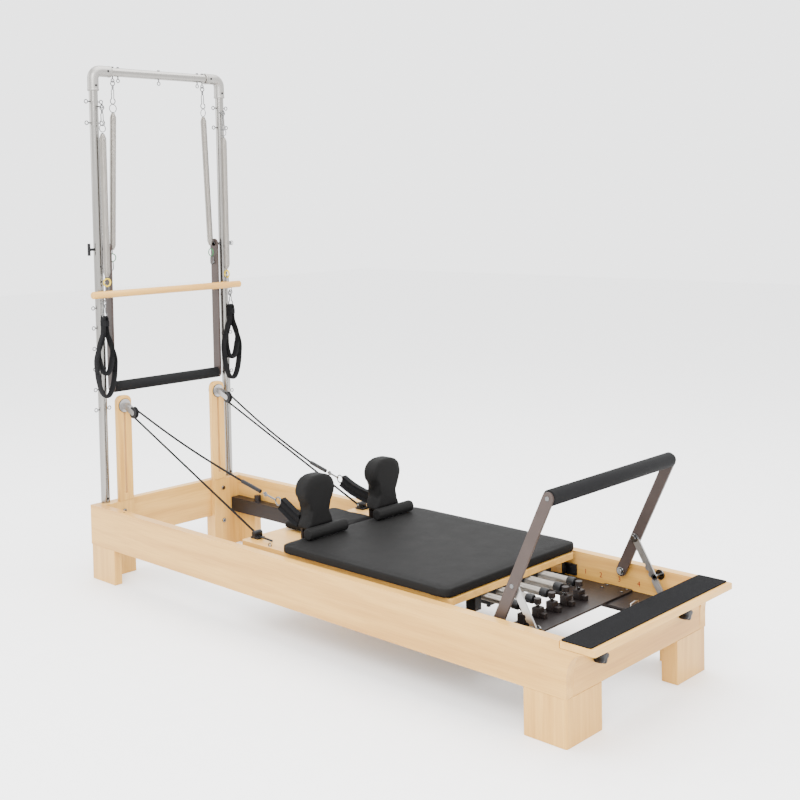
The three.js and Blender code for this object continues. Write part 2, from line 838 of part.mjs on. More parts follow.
function footbar() {
  const foot = [armPivotX, footbarPivotHeight];
  const tip = [
    armPivotX + footbarReach * Math.sin(footbarLean),
    footbarPivotHeight + footbarReach * Math.cos(footbarLean),
  ];
  barFrame("footbar", armY, footbarArmThickness, foot, tip, footbarArmWidth, footbarFoamRadius, armBronze());
}

function strutShape() {
  const top = [
    armPivotX + strutAlongArm * Math.sin(footbarLean),
    footbarPivotHeight + strutAlongArm * Math.cos(footbarLean),
  ];
  const along = [Math.sin(strutAngle), -Math.cos(strutAngle)];
  const bottom = [top[0] + strutLength * along[0], top[1] + strutLength * along[1]];
  return { top, along, bottom };
}

function struts() {
  const { top, along, bottom } = strutShape();
  for (const [label, side] of sides) {
    const [y0, y1] = across(side, strutY - strutThickness / 2, strutY + strutThickness / 2);
    const notches = [];
    for (let i = 0; i < notchCount; i++) {
      const reach = notchFirst + i * notchPitch;
      const x = top[0] + reach * along[0] - (strutWidth / 2) * Math.cos(strutAngle);
      const z = top[1] + reach * along[1] - (strutWidth / 2) * Math.sin(strutAngle);
      notches.push(rod(notchRadius, strutThickness * 3, "y", x, side * strutY, z, 10));
    }
    const blank = prismY(stadium(top, bottom, strutWidth), y0, y1, 6);
    add(`footbar_strut_${label}`, cut(blank, ...notches), steel());
  }
}

// Star knobs that hold the platform

function starKnobs() {
  const knobY = 205;
  const knobZ = 200;
  const lobes = 5;
  for (const [label, side] of sides) {
    const shape = new THREE.Shape();
    const steps = lobes * 6;
    for (let i = 0; i < steps; i++) {
      const angle = (2 * Math.PI * i) / steps;
      const r = knobRadius + 3 * Math.cos(lobes * angle);
      const p = [side * knobY + r * Math.cos(angle), knobZ + r * Math.sin(angle)];
      if (i === 0) shape.moveTo(...p);
      else shape.lineTo(...p);
    }
    add(`platform_knob_${label}`, prismX(shape, footFace + gap, footFace + 28), plastic());
  }
}

sideRails();
endPanels();
legs();
platform();
tracks();
risers();
cordGear();
tower();
pushThroughBar();
pushSprings();
rollDownBar();
carriageBoard();
carriagePad();
headrest();
loadWheels();
carriageSprings();
springBar();
shoulderRests();
shoulderStraps();
footbar();
struts();
starKnobs();

export default reformer;
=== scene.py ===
# The looks of the pilates reformer, in metres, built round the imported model.
import json
import math
import bpy
import bmesh
import numpy as np
from mathutils import Matrix, Vector


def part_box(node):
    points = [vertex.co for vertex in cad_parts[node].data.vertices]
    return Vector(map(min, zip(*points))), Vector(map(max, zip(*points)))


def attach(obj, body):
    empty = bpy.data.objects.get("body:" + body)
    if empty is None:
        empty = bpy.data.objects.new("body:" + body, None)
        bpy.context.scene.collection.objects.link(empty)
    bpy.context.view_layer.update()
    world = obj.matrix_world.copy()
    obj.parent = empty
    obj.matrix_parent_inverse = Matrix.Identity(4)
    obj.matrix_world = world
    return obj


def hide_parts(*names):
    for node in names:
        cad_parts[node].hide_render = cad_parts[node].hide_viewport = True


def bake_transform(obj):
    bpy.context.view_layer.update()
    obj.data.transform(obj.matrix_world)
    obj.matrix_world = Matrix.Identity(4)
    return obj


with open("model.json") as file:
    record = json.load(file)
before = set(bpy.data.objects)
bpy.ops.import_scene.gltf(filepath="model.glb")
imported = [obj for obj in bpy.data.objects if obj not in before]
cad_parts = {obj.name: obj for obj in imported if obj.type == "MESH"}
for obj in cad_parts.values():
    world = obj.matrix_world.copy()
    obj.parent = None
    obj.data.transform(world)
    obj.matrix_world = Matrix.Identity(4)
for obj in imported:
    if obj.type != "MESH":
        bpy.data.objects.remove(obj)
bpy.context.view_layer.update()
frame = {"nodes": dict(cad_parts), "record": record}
SIDES = (("near", -1), ("far", 1))

# Places that the pieces share, in the row frame
FOOT = 1.0035
HEAD = FOOT - 2.088
BOARD = 0.0303
UPRIGHT_X = HEAD + 0.016
UPRIGHT_Y = 0.283
UPRIGHT_RADIUS = 0.016
CROSSBAR_Z = 1.825
HANG_X = UPRIGHT_X + 0.035
HANG_Y = 0.272
STRAP_Y = 0.2865
RISER_X = HEAD + BOARD + 0.010
RISER_HALF = 0.0098
PULLEY_X = RISER_X + 0.0095 + 0.060
PULLEY_Z = 0.596
BLOCK_Z = 0.616
RISER_Y = 0.2135
RAIL_IN = 0.3065
PUSH_Y = 0.242
PUSH_PIVOT_Z = 1.187
PUSH_GRIP_Z = 0.683
SHELF_TOP = 0.187


def at(x):
    """X from the foot face."""
    return FOOT + x


# The footbar's pivots, its lean from upright, and the pins that its struts rest on
FOOTBAR_X = at(-0.248)
FOOTBAR_Z = 0.245
FOOTBAR_LEAN = math.radians(25.2)
RAIL_PIN_X = at(-0.127)
RAIL_PIN_Z = 0.254

# The springs under the carriage
SPRINGS = 5
SPRING_PITCH = 0.065
SPRING_FOOT = at(-0.300)
SPRING_LENGTH = 0.560
SPRING_Z = 0.239
SPRING_PLATE_TOP = 0.1935

CLEAT_X = at(-1.276)
CLEAT_Y = 0.236
CARRIAGE_TOP = 0.2715


# ---- materials ----

def _nodes(name):
    m = bpy.data.materials.new(name)
    m.use_nodes = True
    tree = m.node_tree
    return m, tree, tree.nodes["Principled BSDF"]


def _coords(tree, stretch, shuffle=True):
    coord = tree.nodes.new("ShaderNodeTexCoord")
    mapping = tree.nodes.new("ShaderNodeMapping")
    mapping.inputs["Scale"].default_value = stretch
    tree.links.new(coord.outputs["Object"], mapping.inputs["Vector"])
    if shuffle:
        info = tree.nodes.new("ShaderNodeObjectInfo")
        scale = tree.nodes.new("ShaderNodeMath")
        scale.operation = "MULTIPLY"
        scale.inputs[1].default_value = 9.0
        tree.links.new(info.outputs["Random"], scale.inputs[0])
        tree.links.new(scale.outputs[0], mapping.inputs["Location"])
    return mapping.outputs["Vector"]


def _noise(tree, vector, scale, detail=6.0, rough=0.6):
    n = tree.nodes.new("ShaderNodeTexNoise")
    n.inputs["Scale"].default_value = scale
    n.inputs["Detail"].default_value = detail
    n.inputs["Roughness"].default_value = rough
    tree.links.new(vector, n.inputs["Vector"])
    return n.outputs["Fac"]


def _ramp(tree, fac, stops):
    r = tree.nodes.new("ShaderNodeValToRGB")
    while len(r.color_ramp.elements) < len(stops):
        r.color_ramp.elements.new(0.5)
    for e, (p, c) in zip(r.color_ramp.elements, stops):
        e.position = p
        e.color = (*c, 1.0)
    tree.links.new(fac, r.inputs["Fac"])
    return r.outputs["Color"]


def _range(tree, fac, low, high):
    r = tree.nodes.new("ShaderNodeMapRange")
    r.inputs["To Min"].default_value = low
    r.inputs["To Max"].default_value = high
    tree.links.new(fac, r.inputs["Value"])
    return r.outputs["Result"]


def _bump(tree, height, strength, distance):
    b = tree.nodes.new("ShaderNodeBump")
    b.inputs["Strength"].default_value = strength
    b.inputs["Distance"].default_value = distance
    tree.links.new(height, b.inputs["Height"])
    return b.outputs["Normal"]


def _shade(color, k):
    return tuple(min(1.0, c * k) for c in color)


def wood(name, axis):
    """Lacquered maple with its grain along one axis."""
    m, tree, shader = _nodes(name)
    coarse = [15.0, 15.0, 15.0]
    fine = [160.0, 160.0, 160.0]
    coarse[axis] = 0.9
    fine[axis] = 5.0
    figure = _noise(tree, _coords(tree, coarse), 1.4, 5.0, 0.55)
    streak = _noise(tree, _coords(tree, fine), 1.6, 4.0, 0.6)
    base = _ramp(tree, figure, [
        (0.28, (0.42, 0.210, 0.044)), (0.47, (0.52, 0.285, 0.064)),
        (0.58, (0.58, 0.330, 0.080)), (0.75, (0.45, 0.233, 0.050))])
    lines = _ramp(tree, streak, [(0.35, (0.86, 0.82, 0.76)), (0.55, (1.0, 1.0, 1.0))])
    mix = tree.nodes.new("ShaderNodeMix")
    mix.data_type = "RGBA"
    mix.blend_type = "MULTIPLY"
    mix.inputs["Factor"].default_value = 0.65
    tree.links.new(base, mix.inputs["A"])
    tree.links.new(lines, mix.inputs["B"])
    tree.links.new(mix.outputs["Result"], shader.inputs["Base Color"])
    tree.links.new(_range(tree, streak, 0.32, 0.48), shader.inputs["Roughness"])
    tree.links.new(_bump(tree, streak, 0.12, 0.0006), shader.inputs["Normal"])
    shader.inputs["Coat Weight"].default_value = 0.12
    shader.inputs["Coat Roughness"].default_value = 0.25
    shader.inputs["Specular IOR Level"].default_value = 0.3
    return m


def surface(name, color, rough, metal=0.0, spread=0.12, scale=18.0, stretch=(1, 1, 1),
            bump=0.15, bump_scale=900.0, depth=0.0004, kind="noise", wear=0.0, sheen=0.0, specular=0.5):
    """A coloured surface with mottling, a fine bump and lighter worn edges."""
    m, tree, shader = _nodes(name)
    vector = _coords(tree, stretch)
    mottle = _noise(tree, vector, scale, 5.0)
    color_out = _ramp(tree, mottle, [(0.3, _shade(color, 1 - spread)), (0.7, _shade(color, 1 + spread))])
    if wear:
        geometry = tree.nodes.new("ShaderNodeNewGeometry")
        edge = tree.nodes.new("ShaderNodeMapRange")
        edge.inputs["From Min"].default_value = 0.52
        edge.inputs["From Max"].default_value = 0.60
        edge.inputs["To Max"].default_value = wear
        tree.links.new(geometry.outputs["Pointiness"], edge.inputs["Value"])
        mix = tree.nodes.new("ShaderNodeMix")
        mix.data_type = "RGBA"
        mix.inputs["B"].default_value = (*_shade(color, 2.4), 1.0)
        tree.links.new(edge.outputs["Result"], mix.inputs["Factor"])
        tree.links.new(color_out, mix.inputs["A"])
        color_out = mix.outputs["Result"]
    tree.links.new(color_out, shader.inputs["Base Color"])
    tree.links.new(_range(tree, mottle, rough - 0.07, rough + 0.09), shader.inputs["Roughness"])
    shader.inputs["Metallic"].default_value = metal
    shader.inputs["Sheen Weight"].default_value = sheen
    shader.inputs["Specular IOR Level"].default_value = specular
    if kind == "voronoi":
        cell = tree.nodes.new("ShaderNodeTexVoronoi")
        cell.inputs["Scale"].default_value = bump_scale
        tree.links.new(_coords(tree, (1, 1, 1), False), cell.inputs["Vector"])
        height = cell.outputs["Distance"]
    elif kind == "weave":
        vec = _coords(tree, (1, 1, 1), False)
        waves = []
        for direction in ("DIAGONAL", "Z"):
            w = tree.nodes.new("ShaderNodeTexWave")
            w.bands_direction = direction
            w.inputs["Scale"].default_value = bump_scale
            w.inputs["Distortion"].default_value = 0.6
            tree.links.new(vec, w.inputs["Vector"])
            waves.append(w.outputs["Fac"])
        both = tree.nodes.new("ShaderNodeMath")
        both.operation = "MULTIPLY"
        tree.links.new(waves[0], both.inputs[0])
        tree.links.new(waves[1], both.inputs[1])
        height = both.outputs[0]
    else:
        height = _noise(tree, _coords(tree, stretch, False), bump_scale, 3.0)
    tree.links.new(_bump(tree, height, bump, depth), shader.inputs["Normal"])
    return m


MAPLE_X = wood("maple_along", 0)
MAPLE_Y = wood("maple_across", 1)
MAPLE_Z = wood("maple_up", 2)
MAT = surface("mat_rubber", (0.0075, 0.0075, 0.008), 0.80, kind="voronoi", bump=0.7, bump_scale=420,
              depth=0.0012,
              specular=0.03)
TRACK = surface("dark_bronze", (0.013, 0.010, 0.0095), 0.42, 0.4, specular=0.25, stretch=(0.3, 9, 9),
                bump=0.06, wear=0.35)
TAUPE = surface("taupe_coat", (0.040, 0.028, 0.024), 0.42, 0.2, specular=0.3, bump=0.2, bump_scale=1400,
                wear=0.25)
SILVER = surface("satin_silver", (0.34, 0.33, 0.32), 0.30, 0.95, spread=0.05, stretch=(6, 6, 0.4), bump=0.05)
TUBE = surface("tower_tube", (0.25, 0.24, 0.225), 0.20, 0.95, spread=0.05, stretch=(5, 5, 0.5), bump=0.04)
ELBOW = surface("cast_elbow", (0.27, 0.26, 0.245), 0.40, 0.9, spread=0.08, bump=0.2, bump_scale=700)
CHROME = surface("chrome", (0.13, 0.13, 0.13), 0.16, 1.0, spread=0.03, bump=0.02)
COIL = surface("coil_steel", (0.29, 0.27, 0.245), 0.34, 1.0, spread=0.06, bump=0.05)
VINYL = surface("charcoal_vinyl", (0.0080, 0.0078, 0.0077), 0.60, kind="voronoi", spread=0.08,
                bump=0.28, bump_scale=700, depth=0.0005, specular=0.05)
FOAM = surface("black_foam", (0.007, 0.007, 0.0075), 0.80, bump=0.45, bump_scale=1300, depth=0.0006,
               specular=0.10)
PLASTIC = surface("black_plastic", (0.005, 0.005, 0.0055), 0.42, bump=0.15, wear=0.25, specular=0.22)
WEBBING = surface("woven_webbing", (0.005, 0.005, 0.0055), 0.85, kind="weave", bump=0.6, bump_scale=260,
                  depth=0.0008,
                  sheen=0.01, specular=0.08)
BRAID = surface("braided_cord", (0.007, 0.007, 0.0075), 0.8, kind="weave", bump=0.8, bump_scale=190,
                depth=0.0009,
                sheen=0.01, specular=0.08)
YELLOW = surface("yellow_ring", (0.48, 0.34, 0.002), 0.45, spread=0.06)
GREEN = surface("green_ring", (0.002, 0.11, 0.025), 0.45, spread=0.06)
RED = surface("red_number", (0.22, 0.006, 0.004), 0.5, spread=0.05)

# ---- mesh helpers: raw geometry is (vertices, faces) ----


def merge(*parts):
    verts, faces = [], []
    for v, f in parts:
        base = len(verts)
        verts += [tuple(p) for p in v]
        faces += [tuple(i + base for i in face) for face in f]
    return verts, faces


def sweep(points, radius, sides=16, closed=False, section=None, up=(0, 0, 1)):
    """A section carried along the points; radius may be one value or one for each point."""
    p = np.array([tuple(q) for q in points], float)
    n = len(p)
    radii = np.full(n, radius, float) if np.isscalar(radius) else np.array(radius, float)
    if closed:
        tangent = np.roll(p, -1, 0) - np.roll(p, 1, 0)
    else:
        tangent = np.gradient(p, axis=0)
    tangent /= np.linalg.norm(tangent, axis=1)[:, None] + 1e-12
    if section is None:
        a = np.linspace(0, 2 * math.pi, sides, endpoint=False)
        section = np.stack([np.cos(a), np.sin(a)], 1)
    else:
        section = np.array(section, float)
        radii = np.ones(n)
    k = len(section)
    side = np.cross(tangent[0], np.array(up, float))
    if np.linalg.norm(side) < 1e-3:
        side = np.cross(tangent[0], (0.0, 1.0, 0.0))
    side /= np.linalg.norm(side)
    verts = []
    for i in range(n):
        side = side - tangent[i] * (side @ tangent[i])
        side /= np.linalg.norm(side)
        other = np.cross(side, tangent[i])
        verts += [tuple(p[i] + radii[i] * (c * side + s * other)) for c, s in section]
    faces = []
    last = n if closed else n - 1
    for i in range(last):
        a, b = i * k, ((i + 1) % n) * k
        for j in range(k):
            q = (j + 1) % k
            faces.append((a + j, b + j, b + q, a + q))
    if not closed:
        faces.append(tuple(range(k)))
        faces.append(tuple(reversed(range((n - 1) * k, n * k))))
    return verts, faces


def rod(a, b, radius, sides=32, bevel=0.0):
    """A straight rod with eased ends."""
    a, b = Vector(a), Vector(b)
    d = (b - a).normalized()
    if bevel:
        pts = [a, a + d * 1e-5, a + d * bevel, b - d * bevel, b - d * 1e-5, b]
        return sweep(pts, [radius - bevel, radius - bevel, radius, radius, radius - bevel,
                           radius - bevel], sides)
    return sweep([a, b], radius, sides)


def ring(centre, major, minor, normal="x", sides=10, steps=28, stretch=0.0):
    """A torus, or a link with straight sides when stretch is given, standing in the plane across normal."""
    c = Vector(centre)
    u, v = {"x": ((0, 1, 0), (0, 0, 1)), "y": ((1, 0, 0), (0, 0, 1)), "z": ((1, 0, 0), (0, 1, 0))}[normal]
    u, v = Vector(u), Vector(v)
    pts = []
    for i in range(steps):
        t = 2 * math.pi * i / steps
        apart = stretch if math.sin(t) > 0 else -stretch
        pts.append(c + u * major * math.cos(t) + v * (major * math.sin(t) + apart))
    return sweep(pts, minor, sides, closed=True, up={"x": (1, 0, 0), "y": (0, 1, 0), "z": (0, 0, 1)}[normal])


def lathe(profile, centre, axis="y", steps=48):
    """A closed profile of (radius, height) turned about an axis through centre."""
    e = {"x": 0, "y": 1, "z": 2}[axis]
    o = [(e + 1) % 3, (e + 2) % 3]
    verts, faces = [], []
    k = len(profile)
    for i in range(steps):
        t = 2 * math.pi * i / steps
        for r, h in profile:
            q = [0, 0, 0]
            q[e] = centre[e] + h
            q[o[0]] = centre[o[0]] + r * math.cos(t)
            q[o[1]] = centre[o[1]] + r * math.sin(t)
            verts.append(tuple(q))
    for i in range(steps):
        a, b = i * k, ((i + 1) % steps) * k
        for j in range(k):
            q = (j + 1) % k
            faces.append((a + j, b + j, b + q, a + q))
    return verts, faces


def disc(centre, radius, thick, axis, sides=32, bevel=0.0008):
    e = {"x": 0, "y": 1, "z": 2}[axis]
    d = Vector((0, 0, 0))
    d[e] = thick / 2
    return rod(Vector(centre) - d, Vector(centre) + d, radius, sides, bevel)


def block(lo, hi):
    x0, y0, z0 = lo
    x1, y1, z1 = hi
    v = [(x, y, z) for z in (z0, z1) for y in (y0, y1) for x in (x0, x1)]
    f = [(0, 2, 3, 1), (4, 5, 7, 6), (0, 1, 5, 4), (2, 6, 7, 3), (0, 4, 6, 2), (1, 3, 7, 5)]
    return v, f


def helix(a, b, radius, wire, pitch, taper=0.0):
    """A close coil from a to b that narrows over the taper at both ends."""
    a, b = Vector(a), Vector(b)
    axis = (b - a)
    length = axis.length
    axis.normalize()
    u = axis.cross(Vector((0, 1, 0)))
    if u.length < 0.1:
        u = axis.cross(Vector((1, 0, 0)))
    u.normalize()
    v = axis.cross(u)
    steps = 12
    turns = length / pitch
    pts = []
    for i in range(int(turns * steps) + 1):
        s = min(length, i * pitch / steps)
        t = 2 * math.pi * i / steps
        r = radius - wire
        if taper:
            k = min(1.0, min(s, length - s) / taper)
            r *= 0.45 + 0.55 * k
        pts.append(a + axis * s + (u * math.cos(t) + v * math.sin(t)) * r)
    return sweep(pts, wire, 6)


def piece(name, geometry, look, body=None, replaces=(), smooth=40.0, bevel=0.0):
    """Makes an object from raw geometry, shades it, and ties it to its body."""
    mesh = bpy.data.meshes.new(name)
    mesh.from_pydata(geometry[0], [], geometry[1])
    mesh.validate()
    bm = bmesh.new()
    bm.from_mesh(mesh)
    bmesh.ops.recalc_face_normals(bm, faces=bm.faces)
    bm.to_mesh(mesh)
    bm.free()
    return dress(mesh, name, look, body, replaces, smooth, bevel)


def dress(mesh, name, look, body, replaces, smooth, bevel):
    mesh.polygons.foreach_set("use_smooth", [True] * len(mesh.polygons))
    mesh.set_sharp_from_angle(angle=math.radians(smooth))
    mesh.materials.clear()
    mesh.materials.append(look)
    obj = bpy.data.objects.new(name, mesh)
    bpy.context.scene.collection.objects.link(obj)
    if bevel:
        mod = obj.modifiers.new("ease", "BEVEL")
        mod.width = bevel
        mod.segments = 2
        mod.limit_method = "ANGLE"
        mod.angle_limit = math.radians(40)
        mod.harden_normals = True
    if replaces:
        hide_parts(*replaces)
    if body:
        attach(obj, body)
    return obj


BODY_OF = {n: b for b, ns in frame["record"]["behaviour"]["bodies"].items() for n in ns}


def skin(node, look, bevel=0.0012, smooth=35.0):
    """A copy of a CAD node's own shape with eased edges, which stands for the node."""
    source = frame["nodes"][node]
    mesh = source.data.copy()
    mesh.name = node + "_skin"
    bm = bmesh.new()
    bm.from_mesh(mesh)
    bmesh.ops.remove_doubles(bm, verts=bm.verts, dist=1e-6)
    bmesh.ops.dissolve_limit(bm, angle_limit=math.radians(0.6), verts=bm.verts, edges=bm.edges)
    bm.to_mesh(mesh)
    bm.free()
    return dress(mesh, node + "_skin", look, BODY_OF[node], (node,), smooth, bevel)


# ---- camera, lights, floor ----

def camera():
    yaw, pitch, roll = 0.75696, 0.05064, -0.017916
    f = Vector((-math.sin(yaw) * math.cos(pitch), math.cos(yaw) * math.cos(pitch), -math.sin(pitch)))
    r = f.cross(Vector((0, 0, 1))).normalized()
    u = r.cross(f)
    r2 = math.cos(roll) * r + math.sin(roll) * u
    u2 = -math.sin(roll) * r + math.cos(roll) * u
    data = bpy.data.cameras.new("camera")
    data.sensor_width = 36
    data.lens = 54.35
    data.shift_y = -0.175
    cam = bpy.data.objects.new("camera", data)
    bpy.context.scene.collection.objects.link(cam)
    m = Matrix((r2, u2, -f)).transposed().to_4x4()
    m.translation = (1.69554 + FOOT, -2.69174, 1.349)
    cam.matrix_world = m
    bpy.context.scene.camera = cam


def light(name, place, target, size, power):
    data = bpy.data.lights.new(name, "AREA")
    data.shape = "RECTANGLE"
    data.size, data.size_y = size
    data.energy = power
    obj = bpy.data.objects.new(name, data)
    obj.location = place
    obj.rotation_euler = (Vector(target) - Vector(place)).to_track_quat("-Z", "Y").to_euler()
    bpy.context.scene.collection.objects.link(obj)


def studio():
    light("key", (2.6, -3.4, 3.6), (0, 0, 0.4), (2.6, 2.6), 380)
    light("fill", (-3.6, -2.6, 2.6), (-0.6, 0, 0.6), (2.4, 2.4), 70)
    light("top", (0, 0.6, 4.2), (0, 0, 0), (4.0, 3.0), 240)
    world = bpy.data.worlds.new("studio")
    world.use_nodes = True
    background = world.node_tree.nodes["Background"]
    background.inputs["Color"].default_value = (0.97, 0.975, 0.98, 1)
    background.inputs["Strength"].default_value = 3.1
    bpy.context.scene.world = world
    floor_look = surface("pale_floor", (0.93, 0.93, 0.93), 0.6, spread=0.01, bump=0.02, bump_scale=60)
    size = 14
    floor = piece("floor", ([(-size, -size, 0), (size, -size, 0), (size, size, 0), (-size, size, 0)],
                            [(0, 1, 2, 3)]), floor_look)
    floor.location.z = -0.0005


# ---- wooden frame ----

def wooden_frame():
    for side, _ in SIDES:
        skin("side_rail_" + side, MAPLE_X, 0.002)
        skin("leg_head_" + side, MAPLE_Z, 0.0015)
        skin("leg_foot_" + side, MAPLE_Z, 0.0015)
        skin("riser_" + side, MAPLE_Z, 0.002)
        skin("track_" + side, TRACK, 0.001)
    skin("head_panel", MAPLE_Y, 0.0015)
    skin("foot_panel", MAPLE_Y, 0.0015)
    skin("platform_board", MAPLE_Y, 0.002)
    skin("platform_mat", MAT, 0.0012)


def frame_details():
    bolts, socket_painted_shades, pads = [], [], []
    leg_bolt = HEAD + BOARD + 0.020
    for _, k in SIDES:
        # bolts in the head legs, each with a black hexagon on its face as painted shade for its socket
        for z in (0.102, 0.231):
            bolts.append(disc((leg_bolt + 0.0025, k * 0.227, z), 0.008, 0.005, "x"))
            socket_painted_shades.append(rod((leg_bolt + 0.005, k * 0.227, z), (leg_bolt + 0.0056, k * 0.227, z),
                               0.0035, 6))
        # a screw in each rail's top
        bolts.append(disc((at(-1.897), k * 0.3215, 0.2672), 0.004, 0.0008, "z", bevel=0.0003))
        # rail pins that the struts ride on
        bolts.append(rod((RAIL_PIN_X, k * 0.2735, RAIL_PIN_Z), (RAIL_PIN_X, k * RAIL_IN, RAIL_PIN_Z),
                         0.0048, 24))
        bolts.append(disc((RAIL_PIN_X, k * 0.3050, RAIL_PIN_Z), 0.0150, 0.003, "y"))
        bolts.append(disc((RAIL_PIN_X, k * 0.2755, RAIL_PIN_Z), 0.0095, 0.004, "y"))
        # footbar pivots: washers and a head on a pin
        for y, radius, thick in ((0.2962, 0.011, 0.003), (0.2840, 0.0125, 0.004), (0.2795, 0.0085, 0.005)):
            bolts.append(disc((FOOTBAR_X, k * y, FOOTBAR_Z), radius, thick, "y"))
        bolts.append(rod((FOOTBAR_X, k * 0.2905, FOOTBAR_Z), (FOOTBAR_X, k * RAIL_IN, FOOTBAR_Z), 0.005, 20))
    # an eyebolt behind the head panel
    eye = (HEAD - 0.022, -0.300, 0.238)
    bolts.append(ring(eye, 0.0065, 0.0018, "y"))
    bolts.append(rod((HEAD, eye[1], eye[2]), (eye[0] + 0.0065, eye[1], eye[2]), 0.002, 12))
    piece("frame_bolts", merge(*bolts), CHROME, "frame")
    # the black hexagons are painted shade standing in for the recesses of the bolts' sockets
    piece("bolt_sockets", merge(*socket_painted_shades), PLASTIC, "frame")
    # X from, X to and the inner edge of each pad under the legs
    for x0, x1, inner in ((HEAD + 0.004, HEAD + 0.026, 0.188), (HEAD + 0.040, HEAD + 0.140, 0.3085),
                          (FOOT - 0.026, FOOT - 0.004, 0.188), (FOOT - 0.127, FOOT - 0.040, 0.3085)):
        for _, k in SIDES:
            y0, y1 = sorted((k * inner, k * 0.3335))
            pads.append(block((x0, y0, -0.0004), (x1, y1, 0.0012)))
    piece("foot_pads", merge(*pads), PLASTIC, "frame")


def numbers():
    for i, x in enumerate((-0.386, -0.331, -0.266, -0.199)):
        curve = bpy.data.curves.new("number_%d" % (i + 1), "FONT")
        curve.body = str(i + 1)
        curve.size = 0.022
        curve.align_x = "CENTER"
        curve.extrude = 0.0002
        curve.materials.append(RED)
        obj = bpy.data.objects.new("number_%d" % (i + 1), curve)
        obj.rotation_euler = (math.pi / 2, 0, 0)
        obj.location = (at(x), RAIL_IN - 0.0003, 0.204)
        bpy.context.scene.collection.objects.link(obj)
        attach(obj, "frame")


def star(face, toward, y, z, rows, radius, lobe, steps):
    """A five-lobed knob on a face across X; its rows are (depth, share of the full outline)."""
    verts = []
    for depth, share in rows:
        for i in range(steps):
            t = 2 * math.pi * i / steps
            r = (radius + lobe * math.cos(5 * t)) * share
            verts.append((face + toward * depth, y + r * math.cos(t), z + r * math.sin(t)))
    faces = []
    for j in range(len(rows) - 1):
        for i in range(steps):
            n = (i + 1) % steps
            faces.append((j * steps + i, j * steps + n, (j + 1) * steps + n, (j + 1) * steps + i))
    faces.append(tuple(range(steps)))
    faces.append(tuple(range((len(rows) - 1) * steps, len(rows) * steps)))
    return verts, faces


def star_knobs():
    rows = ((0.0003, 0.80), (0.003, 0.97), (0.006, 1.0), (0.018, 1.0), (0.0235, 0.95), (0.0265, 0.80),
            (0.0275, 0.45))
    for side, k in SIDES:
        node = "platform_knob_" + side
        shape = star(FOOT, 1, k * 0.205, 0.200, rows, 0.0180, 0.0030, 80)
        piece("platform_star_" + side, shape, PLASTIC, node, (node,), smooth=60)


# ---- tower ----

def elbow_path(k):
    corner = 0.028
    pts = [(UPRIGHT_X, k * UPRIGHT_Y, 1.755), (UPRIGHT_X, k * UPRIGHT_Y, CROSSBAR_Z - corner)]
    for i in range(1, 9):
        t = math.pi / 2 * i / 8
        pts.append((UPRIGHT_X, k * (UPRIGHT_Y - corner * (1 - math.cos(t))),
                    CROSSBAR_Z - corner + corner * math.sin(t)))
    pts.append((UPRIGHT_X, k * (UPRIGHT_Y - 0.070), CROSSBAR_Z))
    return pts


